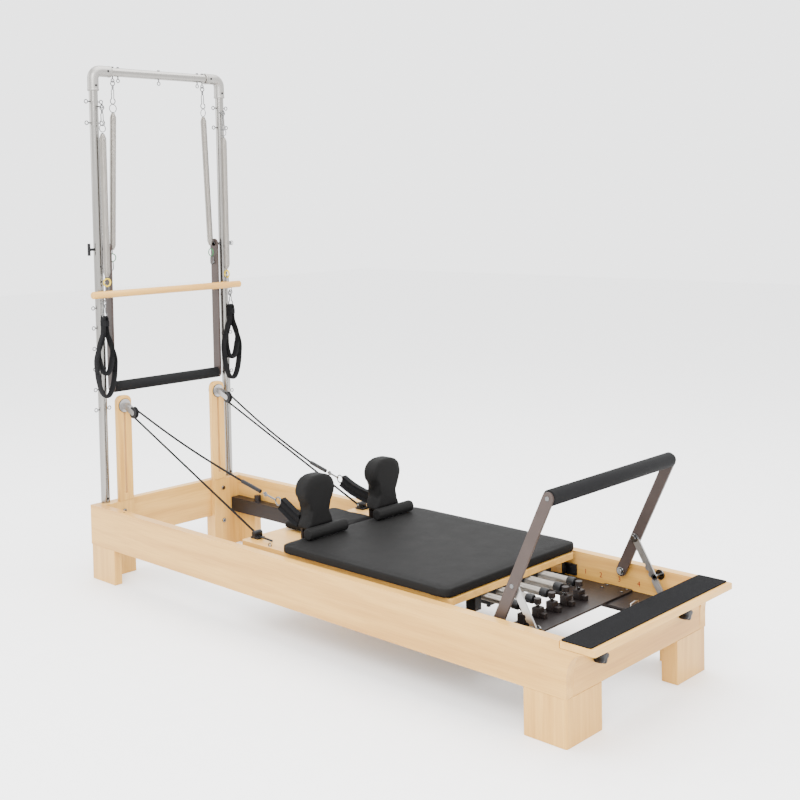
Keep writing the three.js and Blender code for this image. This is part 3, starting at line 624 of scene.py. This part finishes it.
def tower():
    for side, k in SIDES:
        y = k * UPRIGHT_Y
        piece("upright_tube_" + side, rod((UPRIGHT_X, y, 0.2673), (UPRIGHT_X, y, 1.757), UPRIGHT_RADIUS,
                                          48), TUBE, "frame",
              ("tower_upright_" + side,))
        elbow = [sweep(elbow_path(k), 0.020, 40)]
        for a, b in (((UPRIGHT_X, y, 1.7535), (UPRIGHT_X, y, 1.762)),
                     ((UPRIGHT_X, k * (UPRIGHT_Y - 0.0715), CROSSBAR_Z),
                      (UPRIGHT_X, k * (UPRIGHT_Y - 0.063), CROSSBAR_Z))):
            elbow.append(rod(a, b, 0.0208, 40, 0.001))
        piece("elbow_" + side, merge(*elbow), ELBOW, "frame", smooth=50)
    piece("crossbar_tube", rod((UPRIGHT_X, -0.25, CROSSBAR_Z), (UPRIGHT_X, 0.25, CROSSBAR_Z),
                               UPRIGHT_RADIUS, 48), TUBE, "frame",
          ("tower_crossbar",))
    hardware, screws = [], []
    for y in (-0.201, -0.178, 0.0, 0.178, 0.201):
        hardware.append(ring((UPRIGHT_X, y, 1.7945), 0.0062, 0.0017, "x"))
        hardware.append(rod((UPRIGHT_X, y, 1.8005), (UPRIGHT_X, y, 1.8435), 0.0024, 14))
        hardware.append(rod((UPRIGHT_X, y, 1.8405), (UPRIGHT_X, y, 1.8445), 0.0050, 6))
    rows = {"near": (0.976, 0.904, 0.830, 0.756, 0.681, 0.608), "far": (0.987, 0.834, 0.681, 0.602)}
    for side, k in SIDES:
        y = k * UPRIGHT_Y
        for z in rows[side]:
            hardware.append(ring((UPRIGHT_X, y + k * 0.0275, z), 0.0062, 0.0017, "x"))
            hardware.append(rod((UPRIGHT_X, y - k * 0.019, z), (UPRIGHT_X, y + k * 0.021, z), 0.0022, 12))
        for z in (1.715, 1.639):
            hardware.append(rod((UPRIGHT_X, y - 0.024, z), (UPRIGHT_X, y + 0.024, z), 0.0024, 12))
            for s in (-1, 1):
                hardware.append(ring((UPRIGHT_X, y + s * 0.031, z), 0.0065, 0.0018, "x"))
        hardware.append(rod((UPRIGHT_X + 0.010, k * HANG_Y, 1.697), (HANG_X - 0.0075, k * HANG_Y, 1.697),
                            0.0024, 12))
        hardware.append(ring((HANG_X, k * HANG_Y, 1.697), 0.0070, 0.0018, "y"))
        hardware.append(ring((UPRIGHT_X, y - k * 0.0275, 0.610), 0.0062, 0.0017, "x"))
        for z, dx in ((1.772, 0.0205), (0.283, 0.0162)):
            screws.append(disc((UPRIGHT_X + dx, y, z), 0.0042, 0.0016, "x"))
        screws.append(disc((UPRIGHT_X + 0.0203, k * (UPRIGHT_Y - 0.052), CROSSBAR_Z), 0.0042, 0.0016, "x"))
        for z in (1.125, 1.070):
            screws.append(disc((UPRIGHT_X + 0.0158, y, z), 0.0038, 0.0012, "x"))
    piece("tower_eyebolts", merge(*hardware), CHROME, "frame", smooth=60)
    piece("tower_screws", merge(*screws), PLASTIC, "frame")


def snap_hook(top, bottom, width, wire):
    """A swivel snap: a round eye, a barrel and a hook whose gate closes on the ring below."""
    a, b = Vector(top), Vector(bottom)
    d = (b - a).normalized()
    length = (b - a).length
    eye, bow = width * 0.42, width * 0.5
    barrel = a + d * (2 * eye)
    curve = []
    for i in range(25):
        t = math.radians(-62 + 304 * i / 24)
        curve.append(b - d * bow + Vector((0, bow * math.cos(t), 0)) + d * (bow * math.sin(t)))
    shank = [barrel + d * length * 0.12, barrel + d * length * 0.22 + Vector((0, -bow * 0.55, 0)), curve[-1]]
    gate = [curve[0], barrel + d * length * 0.20 + Vector((0, bow * 0.45, 0)), barrel + d * length * 0.10]
    return merge(ring(a + d * eye, eye, wire, "x", 8, 24),
                 rod(barrel - d * wire, barrel + d * length * 0.13, wire * 1.9, 16),
                 sweep(curve, wire, 8), sweep(shank, wire, 8), sweep(gate, wire * 0.8, 8))


def link(top, bottom, width, wire, normal="x"):
    """A spring hook: a long closed wire loop between two heights."""
    half = (top[2] - bottom[2]) / 2
    c = ((top[0] + bottom[0]) / 2, (top[1] + bottom[1]) / 2, (top[2] + bottom[2]) / 2)
    return ring(c, width / 2, wire, normal, 8, 32, half - width / 2)


def roll_down():
    piece("dowel", rod((HANG_X, -0.335, 1.025), (HANG_X, 0.335, 1.025), 0.013, 40, 0.003), MAPLE_Y,
          "roll_down_bar", ("roll_down_bar",))
    ends = []
    for side, k in SIDES:
        y = k * HANG_Y
        coil = piece("roll_down_coil_" + side, helix((HANG_X, y, 1.088), (HANG_X, y, 1.599), 0.013,
                                                     0.00165, 0.0034, 0.016),
                     COIL, None, ("roll_down_spring_" + side,), smooth=80)
        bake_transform(coil)
        hook = snap_hook((HANG_X, y, 1.700), (HANG_X, y, 1.628), 0.019, 0.0020)
        piece("roll_down_hook_" + side, hook, CHROME, "frame", smooth=60)
        top = merge(ring((HANG_X, y, 1.618), 0.0125, 0.0015, "x"),
                    rod((HANG_X, y, 1.597), (HANG_X, y, 1.602), 0.0040, 16))
        piece("roll_down_ring_" + side, top, CHROME, "roll_down_springs", smooth=60)
        low = merge(rod((HANG_X, y, 1.090), (HANG_X, y, 1.079), 0.0016, 12),
                    link((HANG_X, y, 1.060), (HANG_X, y, 1.032), 0.013, 0.0020),
                    rod((HANG_X, y, 1.034), (HANG_X, y, 1.010), 0.0024, 12))
        piece("roll_down_clip_" + side, low, CHROME, "roll_down_bar", smooth=60)
        loop = ring((HANG_X, y, 1.068), 0.0135, 0.0030, "x" if k < 0 else "y", 14, 40)
        piece("yellow_ring_" + side, loop, YELLOW, "roll_down_bar", smooth=60)
        s = k * STRAP_Y
        ends.append(ring((HANG_X, s, 1.0065), 0.0083, 0.0016, "y"))
        piece("strap_hook_" + side, merge(snap_hook((HANG_X, s, 1.004), (HANG_X, s, 0.944), 0.019,
                                                    0.0021)), CHROME,
              "strap_handle_" + side, smooth=60)
        strap_handle(side, s)
    piece("dowel_eyes", merge(*ends), CHROME, "roll_down_bar", smooth=60)


def drop_loop(y, top, bottom, half, steps=72):
    """The centre line of a hanging loop, narrow at its top."""
    height = top - bottom
    pts = []
    for i in range(steps):
        t = 2 * math.pi * i / steps
        up = (1 - math.cos(t)) / 2
        k = min(1.0, max(0.0, (up - 0.42) / 0.42))
        spread = half * abs(math.sin(t)) * (1 - 0.8 * k * k * (3 - 2 * k))
        neck = 0.0052 * min(1.0, up / 0.3) * min(1.0, (1 - up) / 0.02)
        pts.append((HANG_X, y + math.copysign(max(spread, neck), math.sin(t)), bottom + height * up))
    return pts


def flat_section(width, thick):
    w, t = width / 2, thick / 2
    e = t * 0.7
    return [(-t, -w + e), (-t, w - e), (-t + e, w), (t - e, w), (t, w - e), (t, -w + e), (t - e, -w),
            (-t + e, -w)]


def strap_handle(side, y):
    outer = sweep(drop_loop(y, 0.948, 0.657, 0.0395), 1, closed=True, section=flat_section(0.031, 0.0030),
                  up=(1, 0, 0))
    inner = sweep(drop_loop(y, 0.944, 0.738, 0.0290), 1, closed=True, section=flat_section(0.026, 0.0028),
                  up=(1, 0, 0))
    keeper = block((HANG_X - 0.0165, y - 0.0075, 0.912), (HANG_X + 0.0165, y + 0.0075, 0.932))
    body = "strap_handle_" + side
    piece("strap_band_" + side, merge(outer, inner, keeper), WEBBING, body, (body,), smooth=45)
    for label, low, half in (("low", 0.657, 0.0395), ("high", 0.738, 0.0290)):
        line = [p for i, p in enumerate(drop_loop(y, 0.946, low, half)) if i <= 13 or i >= 59]
        line = line[14:] + line[:14]
        n = len(line)
        oval = [(0.0048 * math.cos(a),
                 0.0158 * math.sin(a)) for a in (2 * math.pi * i / 20 for i in range(20))]
        grip = piece("strap_pad_%s_%s" % (label, side), sweep(line, 1, section=oval, up=(1, 0, 0)), FOAM,
                     body,
                     smooth=60)


def push_through():
    bar = skin("push_bar_frame", TAUPE, 0.0015)
    bar.name = "push_arms"
    span = PUSH_Y - 0.0043
    foam = lathe([(0.0135, -span), (0.0185, -span), (0.0200, -span + 0.0015), (0.0200, span - 0.0015),
                  (0.0185, span), (0.0135, span)], (UPRIGHT_X, 0, PUSH_GRIP_Z), "y", 56)
    grip = piece("push_foam", foam, FOAM, "push_bar", ("push_bar_grip",), smooth=50)
    pin = merge(rod((UPRIGHT_X, -0.2995, PUSH_PIVOT_Z), (UPRIGHT_X, -0.3180, PUSH_PIVOT_Z), 0.0050, 24,
                    0.0005),
                rod((UPRIGHT_X, -0.3200, 1.165), (UPRIGHT_X, -0.3200, 1.209), 0.0055, 24, 0.0015))
    piece("push_pin_handle", pin, PLASTIC, "push_bar_pin", ("push_bar_pin",))
    far = merge(rod((UPRIGHT_X, 0.2990, PUSH_PIVOT_Z), (UPRIGHT_X, 0.3220, PUSH_PIVOT_Z), 0.0085, 24, 0.001),
                ring((UPRIGHT_X, 0.3260, PUSH_PIVOT_Z), 0.0080, 0.0013, "x"))
    piece("push_far_knob", far, CHROME, "frame", smooth=50)
    heads, clips, tops = [], [], []
    for side, k in SIDES:
        for z in (PUSH_PIVOT_Z, PUSH_GRIP_Z):
            heads.append(disc((UPRIGHT_X, k * (PUSH_Y + 0.0053), z), 0.0085, 0.0024, "y"))
            heads.append(disc((UPRIGHT_X, k * (PUSH_Y - 0.0053), PUSH_PIVOT_Z), 0.0085, 0.0024, "y"))
        heads.append(rod((UPRIGHT_X, k * (PUSH_Y + 0.004), PUSH_PIVOT_Z),
                         (UPRIGHT_X, k * (UPRIGHT_Y - 0.016), PUSH_PIVOT_Z), 0.005, 24))
        a = (UPRIGHT_X, k * 0.203, 1.678)
        b = (UPRIGHT_X, k * 0.222, 1.182)
        coil = piece("push_coil_" + side, helix(b, a, 0.012, 0.00155, 0.0032, 0.016), COIL, None,
                     ("push_bar_spring_" + side,), smooth=80)
        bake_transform(coil)
        tops.append(snap_hook((UPRIGHT_X, k * 0.201, 1.793), (UPRIGHT_X, k * 0.203, 1.710), 0.020, 0.0020))
        tops.append(ring((UPRIGHT_X, k * 0.203, 1.694), 0.0145, 0.0015, "x" if k < 0 else "y"))
        clips.append(rod((UPRIGHT_X, k * 0.2222, 1.184), (UPRIGHT_X, k * 0.2225, 1.168), 0.0015, 10))
        clips.append(link((UPRIGHT_X, k * 0.2250, 1.140), (UPRIGHT_X, k * 0.2305, 1.108), 0.014, 0.0018))
        clips.append(disc((UPRIGHT_X, k * 0.2355, 1.115), 0.0060, 0.0030, "y"))
        loop = ring((UPRIGHT_X, k * 0.2235, 1.154), 0.0140, 0.0019, "x" if k < 0 else "y", 12, 40)
        piece("green_ring_" + side, loop, GREEN, "push_bar", smooth=60)
    piece("push_spring_hooks", merge(*tops), CHROME, "frame", smooth=60)
    piece("push_bar_bolts", merge(*heads, *clips), CHROME, "push_bar", smooth=50)


# ---- pulleys and cords ----

def pulleys():
    rows = ((0.0, 0.8), (0.002, 0.97), (0.013, 1.0), (0.0165, 0.92), (0.0180, 0.6))
    for side, k in SIDES:
        y = k * RISER_Y
        skin("pulley_block_" + side, SILVER, 0.0006)
        profile = [(0.0055, -0.0065), (0.0205, -0.0065), (0.0210, -0.0058), (0.0192, -0.0042),
                   (0.0142, -0.0032),
                   (0.0122, 0.0), (0.0142, 0.0032), (0.0192, 0.0042), (0.0210, 0.0058), (0.0205,
                                                                                         0.0065), (0.0055,
                                                                                                   0.0065)]
        piece("sheave_" + side, lathe(profile, (PULLEY_X, y, PULLEY_Z), "y"), PLASTIC, "pulley_wheel_" + side,
              ("pulley_wheel_" + side,), smooth=50)
        face = RISER_X + RISER_HALF
        piece("washer_ring_" + side, ring((face + 0.0010, y, BLOCK_Z), 0.0242, 0.0012, "x", 8, 48), PLASTIC,
              "pulley_block_" + side, smooth=60)
        back = RISER_X - RISER_HALF - 0.0002
        piece("riser_star_" + side, star(back, -1, y, BLOCK_Z, rows, 0.0175, 0.0022, 70), PLASTIC,
              "pulley_block_" + side, smooth=60)


# Each end is X from the foot face, Y out from the pulley's middle and Z
CORD_ENDS = {
    "near": ((-1.262, 0.0225, 0.276), (-1.372, 0.0015, 0.437)),
    "far": ((-1.262, 0.0145, 0.276), (-1.510, 0.0015, 0.405)),
}
# How far along its blend each cord's strap end is: at 1 it moves with the carriage, at less it lags behind,
# so that the far sleeve stops short of its riser
FOLLOW = {"near": 1.0, "far": 0.713}
WRAP = 0.0158
CORD_RADIUS = 0.0035


def touch_angle(x, z, above):
    seen = math.atan2(z - PULLEY_Z, x - PULLEY_X)
    opening = math.acos(WRAP / math.hypot(x - PULLEY_X, z - PULLEY_Z))
    return seen + opening if above else seen - opening + 2 * math.pi


def cord_line(side, k):
    start, end = (Vector((at(x), k * (RISER_Y + y), z)) for x, y, z in CORD_ENDS[side])
    first, last = touch_angle(start.x, start.z, False), touch_angle(end.x, end.z, True)
    wrap = []
    for i in range(25):
        t = first + (last - first) * i / 24
        wrap.append(Vector((PULLEY_X + WRAP * math.cos(t), k * RISER_Y, PULLEY_Z + WRAP * math.sin(t))))
    runs = 60
    lower = [start.lerp(wrap[0], i / runs) for i in range(runs)]
    upper = [wrap[-1].lerp(end, i / runs) for i in range(1, runs + 1)]
    for i, p in enumerate(upper):
        p.z -= 0.010 * math.sin(math.pi * (i + 1) / runs)
    return lower + wrap + upper


def cords():
    for side, k in SIDES:
        line = cord_line(side, k)
        cord = piece("rope_" + side, sweep(line, CORD_RADIUS, 12), BRAID, None,
                     ("cord_" + side,), smooth=60)
        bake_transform(cord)


# ---- carriage ----

FIT_GAP = 0.0003
BOARD_UNDER = 0.2530


def cushion(node, look, shrink, cap, name, voxel=0.006, pressure=4.0):
    """A padded piece: the node's solid drawn in, remeshed, inflated as cloth and kept off its base."""
    source = frame["nodes"][node]
    lo, hi = (Vector(v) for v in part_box(node))
    mid = (lo + hi) / 2
    mesh = source.data.copy()
    for v in mesh.vertices:
        for a in range(3):
            half = (hi[a] - lo[a]) / 2
            v.co[a] = mid[a] + (v.co[a] - mid[a]) * (half - shrink) / half
    obj = bpy.data.objects.new(name, mesh)
    bpy.context.scene.collection.objects.link(obj)
    mesh.name = name
    bpy.context.view_layer.objects.active = obj
    obj.select_set(True)
    remesh = obj.modifiers.new("remesh", "REMESH")
    remesh.mode = "VOXEL"
    remesh.voxel_size = voxel
    bpy.ops.object.modifier_apply(modifier=remesh.name)
    before = np.array([v.co for v in obj.data.vertices])
    cloth = obj.modifiers.new("cloth", "CLOTH")
    s = cloth.settings
    s.quality = 5
    s.use_pressure = True
    s.uniform_pressure_force = pressure
    s.tension_stiffness = 15
    s.effector_weights.gravity = 0
    cloth.point_cache.frame_start = 1
    cloth.point_cache.frame_end = 20
    for f in range(1, 21):
        bpy.context.scene.frame_set(f)
    graph = bpy.context.evaluated_depsgraph_get()
    after = np.array([v.co for v in obj.evaluated_get(graph).data.vertices])
    obj.modifiers.remove(cloth)
    bpy.context.scene.frame_set(1)
    move = after - before
    size = np.linalg.norm(move, axis=1)[:, None] + 1e-9
    after = before + move * np.minimum(1.0, cap / size)
    low = np.array(lo) + 0.0002
    high = np.array(hi) + np.array((0.0, 0.0, 0.002))
    after = np.clip(after, low, high)
    obj.data.vertices.foreach_set("co", after.ravel())
    smooth = obj.modifiers.new("smooth", "SMOOTH")
    smooth.iterations = 2
    smooth.factor = 0.5
    bpy.ops.object.modifier_apply(modifier=smooth.name)
    fit_to_box(obj.data, lo, hi)
    sub = obj.modifiers.new("subdivide", "SUBSURF")
    sub.levels = sub.render_levels = 1
    obj.data.polygons.foreach_set("use_smooth", [True] * len(obj.data.polygons))
    obj.data.materials.clear()
    obj.data.materials.append(look)
    obj.select_set(False)
    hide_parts(node)
    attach(obj, BODY_OF[node])
    return obj


def fit_to_box(mesh, lo, hi):
    """Scales a mesh so that it fills its CAD box, less a hair, on every axis."""
    co = np.array([v.co for v in mesh.vertices])
    low, high = co.min(0), co.max(0)
    a, b = np.array(lo) + FIT_GAP, np.array(hi) - FIT_GAP
    mesh.vertices.foreach_set("co", (a + (co - low) / (high - low) * (b - a)).ravel())


def carriage():
    skin("carriage_board", MAPLE_X, 0.0018)
    foot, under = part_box("carriage_board")[1][0], BOARD_UNDER
    hangers = []
    for i in range(SPRINGS + 1):
        y = (i - SPRINGS / 2) * SPRING_PITCH
        hangers.append(block((foot - 0.044, y - 0.013, under - 0.046),
                             (foot - 0.010, y + 0.013, under - 0.0003)))
        hangers.append(rod((foot - 0.027, y, under - 0.056), (foot - 0.027, y, under - 0.044), 0.006, 20,
                           0.001))
    piece("spring_hangers", merge(*hangers), PLASTIC, "carriage", bevel=0.0012)
    cushion("carriage_pad", VINYL, 0.002, 0.004, "pad_cushion", 0.006)
    cushion("headrest", VINYL, 0.003, 0.006, "head_cushion", 0.005)
    for side, k in SIDES:
        cushion("shoulder_pad_" + side, VINYL, 0.004, 0.009, "shoulder_cushion_" + side, 0.005)
        cushion("shoulder_roll_" + side, VINYL, 0.001, 0.003, "shoulder_bolster_" + side, 0.004)
        skin("shoulder_post_" + side, TRACK, 0.0012)
    wheels()
    cleats()


def wheels():
    for end in ("front", "rear"):
        for side, _ in SIDES:
            node = "wheel_%s_%s" % (end, side)
            lo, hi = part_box(node)
            c = [(a + b) / 2 for a, b in zip(lo, hi)]
            profile = [(0.0055, -0.0075), (0.012, -0.0075), (0.013, -0.009), (0.020, -0.009), (0.022, -0.007),
                       (0.022, 0.007), (0.020, 0.009), (0.013, 0.009), (0.012, 0.0075), (0.0055, 0.0075)]
            piece("roller_%s_%s" % (end, side), lathe(profile, c, "y"), PLASTIC, node,
                  (node,))


def cleats():
    black, metal = [], []
    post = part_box("shoulder_post_near")[0][0]
    for _, k in SIDES:
        y = k * CLEAT_Y
        # base, roller, two cheeks and the roller's screw
        black.append(block((CLEAT_X - 0.016, y - 0.015, CARRIAGE_TOP), (CLEAT_X + 0.020, y + 0.015, 0.2765)))
        black.append(rod((CLEAT_X, y - 0.016, 0.287), (CLEAT_X, y + 0.016, 0.287), 0.0095, 28, 0.0015))
        black.append(block((CLEAT_X - 0.008, y - 0.0155, CARRIAGE_TOP), (CLEAT_X + 0.008, y - 0.0125, 0.291)))
        black.append(block((CLEAT_X - 0.008, y + 0.0125, CARRIAGE_TOP), (CLEAT_X + 0.008, y + 0.0155, 0.291)))
        metal.append(disc((CLEAT_X, y - k * 0.017, 0.287), 0.0045, 0.002, "y"))
        # an eye on the board by the pad's corner
        metal.append(ring((at(-1.173), k * 0.271, 0.2745), 0.0060, 0.0016, "y"))
        metal.append(disc((at(-1.173), k * 0.271, 0.2714), 0.0060, 0.0012, "z"))
        # the cord's tail
        tail = []
        for i in range(22):
            t = i / 21
            wave = k * 0.010 * math.sin(3.0 * t)
            tail.append((at(-1.262 + 0.062 * t), y + wave, 0.2748 + 0.006 * math.sin(math.pi * t)))
        black.append(sweep(tail, 0.0033, 10))
        for z in (0.300, 0.400):
            for dy in (-0.018, 0.018):
                metal.append(disc((post - 0.0008, k * 0.152 + dy, z), 0.0045, 0.0018, "x"))
    piece("cleats", merge(*black), PLASTIC, "carriage", smooth=50)
    piece("carriage_screws", merge(*metal), CHROME, "carriage", smooth=50)


def shoulder_straps():
    paths = {
        "near": [(-1.120, 0.345), (-1.138, 0.350), (-1.160, 0.362), (-1.185, 0.376), (-1.206, 0.386)],
        "far": [(-1.120, 0.330), (-1.150, 0.331), (-1.190, 0.332), (-1.235, 0.340), (-1.280, 0.353),
                (-1.322, 0.372)],
    }
    for side, k in SIDES:
        y = k * 0.191
        pts = [Vector((at(x), y, z)) for x, z in paths[side]]
        line = []
        for i in range(len(pts) - 1):
            line += [pts[i].lerp(pts[i + 1], j / 6) for j in range(6)]
        line.append(pts[-1])
        for _ in range(4):
            line = [line[0]] + [(a + b * 2 + c) / 4 for a, b, c in zip(line, line[1:], line[2:])] + [line[-1]]
        body = "shoulder_strap_" + side
        lag = FOLLOW[side] < 1
        band = piece("strap_cushion_" + side, sweep(line, 1, section=flat_section(0.009, 0.040),
                                                    up=(0, 1, 0)), WEBBING,
                     None if lag else "carriage", (body,), smooth=50)
        root, end = pts[0], pts[-1]
        tip = Vector((at(CORD_ENDS[side][1][0]), k * (RISER_Y + CORD_ENDS[side][1][1]),
                      CORD_ENDS[side][1][2]))
        d = tip - end
        a, b, c = end + d * 0.08, end + d * 0.45, end + d * 0.52
        hook = merge(ring(a, 0.013, 0.0022, "y"), sweep([a + d * 0.06, b], 0.0030, 12),
                     ring(end + d * 0.40, 0.0060, 0.0020, "y"))
        gear = piece("strap_hook_gear_" + side, hook, CHROME, None if lag else "carriage",
                     smooth=60)
        sleeve = piece("cord_sleeve_" + side, rod(c, tip, 0.0065, 24, 0.0012), PLASTIC,
                       None if lag else "carriage")
        if lag:
            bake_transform(band)
            for rigid in (gear, sleeve):
                # a blend across the motion gives every point nearly the same share, so the piece stays rigid
                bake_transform(rigid)


# ---- springs under the carriage ----

def spring_rows():
    return [(i + 1, (i - (SPRINGS - 1) / 2) * SPRING_PITCH) for i in range(SPRINGS)]


def carriage_springs():
    """Each spring is two coils, since a blend crosses one joint: bar to frame, then frame to carriage."""
    hooks, cups = [], []
    z, foot, head = SPRING_Z, SPRING_FOOT, SPRING_FOOT - SPRING_LENGTH
    split = foot - SPRING_LENGTH * 0.35
    cup = [(0.003, -0.012), (0.0120, -0.012), (0.0132, -0.010), (0.0132, 0.008), (0.0110, 0.0115),
           (0.003, 0.0115)]
    for i, y in spring_rows():
        coils = (("foot", foot - 0.018, split, ("carriage_spring_%d" % i,)), ("head", split, head, ()))
        first, second = [
            piece("spring_coil_%s_%d" % (half, i), helix((x0, y, z), (x1, y, z), 0.0120, 0.00165, 0.0034),
                  COIL,
                  None, replaces, smooth=80)
            for half, x0, x1, replaces in coils]
        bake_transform(first)
        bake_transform(second)
        cups.append(lathe(cup, (foot - 0.012, y, z), "x", 32))
        hooks.append(sweep([(foot - 0.004, y, z), (foot + 0.002, y, z), (foot + 0.006, y, z - 0.004)],
                           0.0018, 8))
        hooks.append(ring((foot + 0.012, y, z - 0.010), 0.0075, 0.0016, "z"))
    piece("spring_cups", merge(*cups), PLASTIC, "spring_bar", smooth=50)
    piece("spring_eyes", merge(*hooks), CHROME, "spring_bar", smooth=60)
    skin("spring_bar", TRACK, 0.0010)
    brackets, screws = [], []
    for _, y in spring_rows():
        brackets.append(block((foot + 0.0005, y - 0.013, SPRING_PLATE_TOP), (foot + 0.025, y + 0.013, 0.221)))
        brackets.append(block((foot + 0.025, y - 0.008, SPRING_PLATE_TOP), (foot + 0.040, y + 0.008, 0.208)))
    piece("spring_brackets", merge(*brackets), TRACK, "spring_bar", bevel=0.0015)
    for _, k in SIDES:
        for dx in (-0.034, 0.034):
            for y in (0.262, 0.290):
                screws.append(disc((at(-0.263) + dx, k * y, 0.1943), 0.0055, 0.0020, "z"))
    piece("spring_bar_screws", merge(*screws), CHROME, "spring_bar")


def shelf_details():
    # the wire handle stands on the foot end of the far shelf
    x, z = at(-0.144), SHELF_TOP + 0.0002
    handle = [Vector((x, y, z + up)) for y, up in ((0.176, 0.0), (0.176, 0.010), (0.196, 0.013),
                                                   (0.216, 0.010),
                                                  (0.216, 0.0))]
    piece("shelf_wire", sweep(handle, 0.0022, 10, up=(1, 0, 0)), SILVER, "frame", smooth=60)
    # black discs laid on the shelf top are painted shade standing in for two holes
    hole_painted_shades = [disc((at(x), 0.205, 0.18695), 0.0080, 0.0004, "z", bevel=0.0001) for x in (-0.405, -0.445)]
    piece("shelf_holes", merge(*hole_painted_shades), PLASTIC, "frame")
    bracket = block((at(-0.476), 0.2990, 0.193), (at(-0.416), 0.3063, 0.227))
    piece("rail_bracket", bracket, PLASTIC, "frame", bevel=0.0015)


# ---- footbar ----

def footbar():
    skin("footbar_frame", TAUPE, 0.0015)
    lo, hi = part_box("footbar_grip")
    c = [(a + b) / 2 for a, b in zip(lo, hi)]
    span = (hi[1] - lo[1]) / 2
    foam = lathe([(0.0135, -span), (0.0190, -span), (0.0210, -span + 0.002), (0.0210, span - 0.002),
                  (0.0190, span),
                  (0.0135, span)], c, "y", 56)
    grip = piece("footbar_foam", foam, FOAM, "footbar", ("footbar_grip",), smooth=50)
    bolts = []
    for side, k in SIDES:
        skin("footbar_strut_" + side, SILVER, 0.0006)
        for reach in (0.121, 0.391):
            x = FOOTBAR_X + reach * math.sin(FOOTBAR_LEAN)
            z = FOOTBAR_Z + reach * math.cos(FOOTBAR_LEAN)
            bolts.append(disc((x, k * 0.2952, z), 0.0065, 0.0014, "y"))
            if reach < 0.2:
                bolts.append(disc((x, k * 0.2785, z), 0.0125, 0.0030, "y"))
                bolts.append(disc((x, k * 0.2735, z), 0.0085, 0.0060, "y"))
    piece("footbar_bolts", merge(*bolts), CHROME, "footbar", smooth=50)


camera()
studio()
wooden_frame()
frame_details()
numbers()
star_knobs()
tower()
roll_down()
push_through()
pulleys()
cords()
carriage()
shoulder_straps()
carriage_springs()
shelf_details()
footbar()
